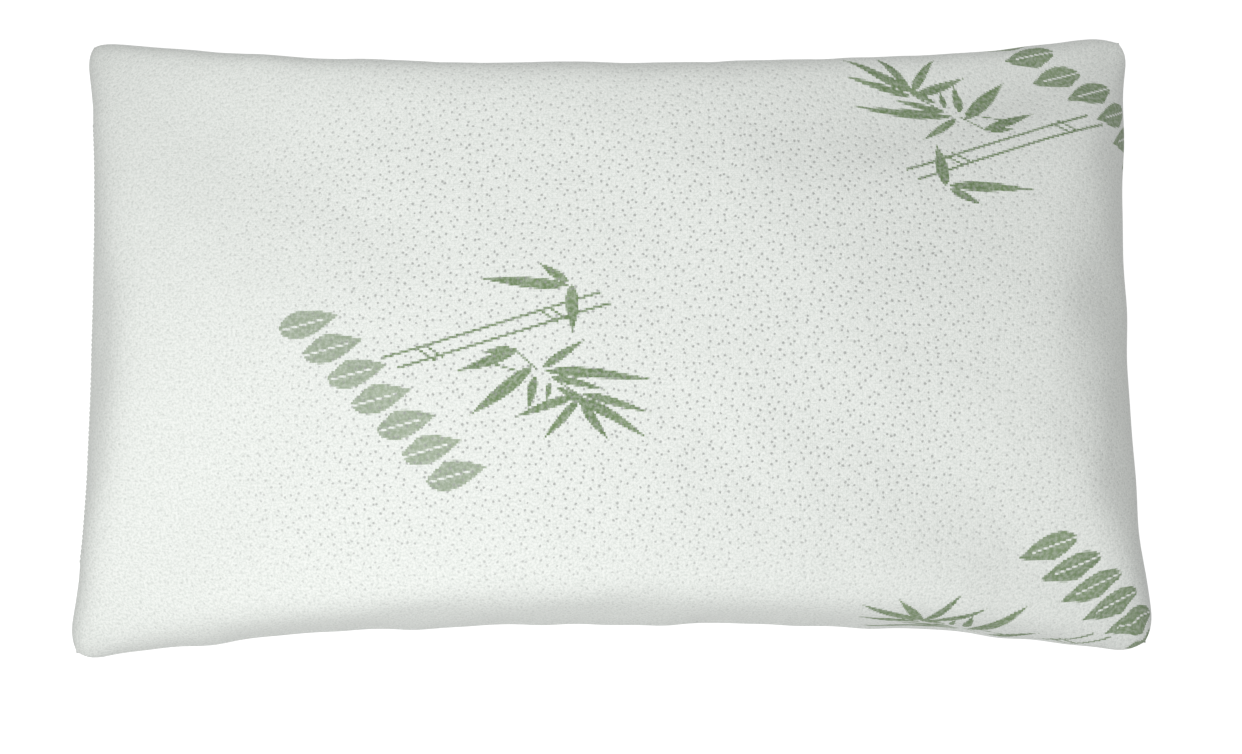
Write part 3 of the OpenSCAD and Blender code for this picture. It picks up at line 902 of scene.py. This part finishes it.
def add_tape(name, skin, material):
    """A woven tape: flat beside the coil, and then along the inside of the cover."""
    low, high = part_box(name)
    start = min(abs(low.z - SEAM_Z), abs(high.z - SEAM_Z))
    across = np.linspace(0, high.z - low.z, 17)[None, :]
    along = np.linspace(low.y, high.y, 161)
    middle = len(along) // 2
    beside = np.stack(np.broadcast_arrays(
        low.x, along[:, None], SEAM_Z + skin.side * (start + across)), axis=-1)
    # how far up the cover's cloth each point lies: the lips take up part of the width
    up_cloth = np.maximum(start + across - LIP * opening(along)[:, None], 0)
    inside = skin.below(up_cloth, along, COVER_T + TAPE_GAP)
    bent = smooth(0.0026, 0.0070, across)[..., None]
    grid = beside + (inside - beside) * bent
    grid[..., 1] = along[:, None]
    cloth = np.stack(np.broadcast_arrays(along[:, None], reach_along(grid[middle])[None, :]), axis=-1)
    mesh = shell_mesh(name + "_weave", grid, cloth, TAPE_T, -skin.side)
    piece = add_piece(name + "_weave", mesh, material, name)


def add_coil(name, side, material):
    """Half of the zip: a flattened nylon spiral of about two hundred turns."""
    low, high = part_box(name)
    wire, pitch, per_turn = 0.00028, 0.0013, 14
    turns = round((high.y - low.y) / pitch)
    angle = 2 * math.pi * np.arange(turns * per_turn + 1) / per_turn
    flatter = [np.sign(wave) * abs(wave) ** 0.75 for wave in (np.cos(angle), np.sin(angle))]
    depth = (low.x + high.x) / 2 + ((high.x - low.x) / 2 - wire) * flatter[1]
    height = (low.z + high.z) / 2 + ((high.z - low.z) / 2 - wire) * flatter[0] * side
    shift = pitch / 4 * side
    along = np.linspace(low.y + wire + abs(shift), high.y - wire - abs(shift), len(angle)) + shift
    mesh = tube_mesh(name + "_turns", [np.stack([depth, along, height], axis=-1)], wire)
    add_piece(name + "_turns", mesh, material, name)


def add_lip_stitches(name, skin, material):
    """Running stitches that hold a lip to its tape, each dipping into the knit at its ends."""
    row = skin.points[STITCH_ROW]
    out = (normals(skin.points) * skin.side)[STITCH_ROW]
    count = int((2 * ZIP_HALF - 0.008) / STITCH_PITCH)
    steps = np.linspace(-1, 1, 9)
    lift = (0.00030 - 0.0007 * steps ** 4)[:, None]
    paths = []
    for k in range(count):
        at = (k - (count - 1) / 2) * STITCH_PITCH + steps * STITCH_L / 2
        paths.append(looked_up(at, row[:, 1], row) + looked_up(at, row[:, 1], out) * lift)
    mesh = tube_mesh(name + "_stitches", paths, STITCH_R)
    add_piece(name + "_stitches", mesh, material, name)


def add_zip(skins, thread):
    tape = woven("zip_tape_weave", (0.86, 0.87, 0.84), (0.66, 0.67, 0.64), 0.5, 0.42)
    coil = nylon("zip_nylon")
    metal = plated_metal("zip_metal")
    for half, side in (("upper", 1), ("lower", -1)):
        add_tape("zip_tape_" + half, skins[side], tape)
        add_coil("zip_coil_" + half, side, coil)
        add_lip_stitches("zip_thread_" + half, skins[side], thread)
    for node, body, radius in (("zip_top_stops", "cover", 0.00015), ("zip_bottom_stop", "cover", 0.00015),
                               ("zip_slider", "slider", 0.00012), ("zip_pull", "pull", 0.0002)):
        mesh = rounded_copy(node, node + "_metal", radius)
        add_piece(node + "_metal", mesh, metal, node, body)


def add_label(liner):
    """A blank tag that hangs from the liner's seam."""
    left = -SEWN_L / 2
    spot, cloth = liner.patch((left, left + LABEL_L),
                              (LABEL_Y - LABEL_W / 2, LABEL_Y + LABEL_W / 2), 0.002)
    away = np.linspace(0, 1, spot.shape[0])[:, None]
    across = np.linspace(-1, 1, spot.shape[1])[None, :]
    lift = 0.00045 + 0.0003 * away ** 3 + 0.00015 * away * across ** 2
    grid = spot + normals(spot) * liner.side * lift[..., None]
    mesh = shell_mesh("liner_label_tag", grid, cloth, 0.0003, liner.side)
    satin = woven("label_satin", (0.90, 0.90, 0.90), (0.78, 0.78, 0.78), 0.9, 0.25, sheen=0.4)
    piece = add_piece("liner_label_tag", mesh, satin, "liner_label")


CRUMB_TINTS = np.array(((0.80, 0.72, 0.54), (0.84, 0.79, 0.62), (0.86, 0.85, 0.80),
                        (0.60, 0.70, 0.66), (0.66, 0.66, 0.63)))
CRUMB_SHARES = (0.34, 0.26, 0.20, 0.08, 0.12)       # how much of the foam has each tint


def crumb_places(top, bottom, draw):
    """Middles of the foam crumbs, and how large each may be."""
    pitch, layer, smallest, largest = 0.0240, 0.0195, 0.009, 0.0135
    nx, ny = top.shape[0] - 1, top.shape[1] - 1
    places, sizes = [], []
    for i in np.arange(pitch / 2, SEWN_L, pitch):
        for j in np.arange(pitch / 2, SEWN_W, pitch):
            x, y = (i, j) + draw.uniform(-0.3, 0.3, 2) * pitch
            at = [np.clip([x / SEWN_L * nx], 0, nx), np.clip([y / SEWN_W * ny], 0, ny)]
            high, low = resampled(top, *at)[0, 0], resampled(bottom, *at)[0, 0]
            room = high[2] - low[2]
            if room < 0.004:
                continue
            count = 1 + int(room / layer)
            for k in range(count):
                share = (k + 0.5 + draw.uniform(-0.2, 0.2)) / count
                places.append(low + (high - low) * share)
                sizes.append(min(largest, smallest + room / 6))
    return places, sizes


def add_crumb(grids):
    """The shredded foam that fills the liner, as one mesh of separate torn chunks."""
    draw = np.random.default_rng(11)
    top, bottom = (inset(grid, FILL_IN, side) for grid, side in zip(grids, (1, -1)))
    places, sizes = crumb_places(top, bottom, draw)
    ball = bmesh.new()
    bmesh.ops.create_icosphere(ball, subdivisions=2, radius=1)
    round_points = np.array([vert.co for vert in ball.verts])
    round_faces = np.array([[vert.index for vert in face.verts] for face in ball.faces])
    ball.free()
    points, faces, tints = [], [], []
    for place, size in zip(places, sizes):
        axes = size * draw.uniform(0.62, 1.0, 3)
        # a torn lump: some directions are bitten off flat, and the rest is uneven
        bites = unit(draw.normal(size=(6, 3)))
        reach = np.min(draw.uniform(0.62, 0.85, 6) / np.maximum(round_points @ bites.T, 0.3), axis=1)
        uneven = draw.uniform(0.93, 1.0, (len(round_points), 1))
        shape = round_points * np.minimum(reach, 1.0)[:, None] * uneven
        turn, _ = np.linalg.qr(draw.normal(size=(3, 3)))
        turn *= np.sign(np.linalg.det(turn))
        faces.append(round_faces + len(points) * len(round_points))
        points.append(place + (shape * axes) @ turn)
        tint = CRUMB_TINTS[draw.choice(len(CRUMB_TINTS), p=CRUMB_SHARES)] * draw.uniform(0.9, 1.05)
        tints.append(np.tile(np.append(tint, 1.0), (len(round_points), 1)))
    mesh = bpy.data.meshes.new("foam_crumb")
    mesh.from_pydata(np.concatenate(points).tolist(), [], np.concatenate(faces).tolist())
    colour = mesh.color_attributes.new("crumb", "FLOAT_COLOR", "POINT")
    colour.data.foreach_set("color", np.concatenate(tints).astype(np.float32).reshape(-1))
    add_piece("foam_crumb", mesh, torn_foam("foam_crumb"), "foam_fill")


add_camera()
top, bottom, flat = filled_cover()
cover = add_cover((top, bottom), flat)
liner = add_liner((top, bottom), flat)
thread = spun_thread("sewing_thread")
add_seams(cover[1], liner[1], thread)
add_zip(cover, thread)
add_label(liner[-1])
add_crumb((top, bottom))


# ---- floor, light and world ----

def add_floor():
    """A wide pale floor that glows a little, so that it stays pale to the horizon."""
    mesh = bpy.data.meshes.new("floor")
    reach = 60.0
    mesh.from_pydata([(-reach, -reach, 0), (reach, -reach, 0), (reach, reach, 0), (-reach, reach, 0)],
                     [], [(0, 1, 2, 3)])
    floor = link("floor", mesh)
    material, n = new_material("floor")
    constants(n.tree.nodes["Principled BSDF"],
              {"Base Color": grey(0.55), "Roughness": 0.9, "Specular IOR Level": 0.1,
               "Emission Color": grey(1.0), "Emission Strength": 0.75})
    floor.data.materials.append(material)
    floor.visible_diffuse = False       # so that its brightness doesn't light the pillow from below


def add_light(name, place, wide, deep, power):
    data = bpy.data.lights.new(name, "AREA")
    data.shape = "RECTANGLE"
    data.size, data.size_y = wide, deep
    data.energy = power
    light = link(name, data)
    light.location = place
    light.rotation_euler = (Vector((0, 0, SEAM_Z)) - light.location).to_track_quat("-Z", "Y").to_euler()


def add_world():
    world = bpy.data.worlds.new("studio")
    world.use_nodes = True
    constants(world.node_tree.nodes["Background"], {"Color": grey(1.0), "Strength": 0.45})
    scene.world = world


add_floor()
add_light("softbox", (-0.05, 0.15, 1.5), 0.6, 3.6, 8.4)
add_light("key", (-0.32, -0.40, 0.95), 0.5, 0.5, 3.5)
add_light("front", (0, -1.6, 0.45), 1.6, 0.5, 1.9)
add_world()
scene.view_settings.view_transform = "Standard"
scene.view_settings.look = "None"
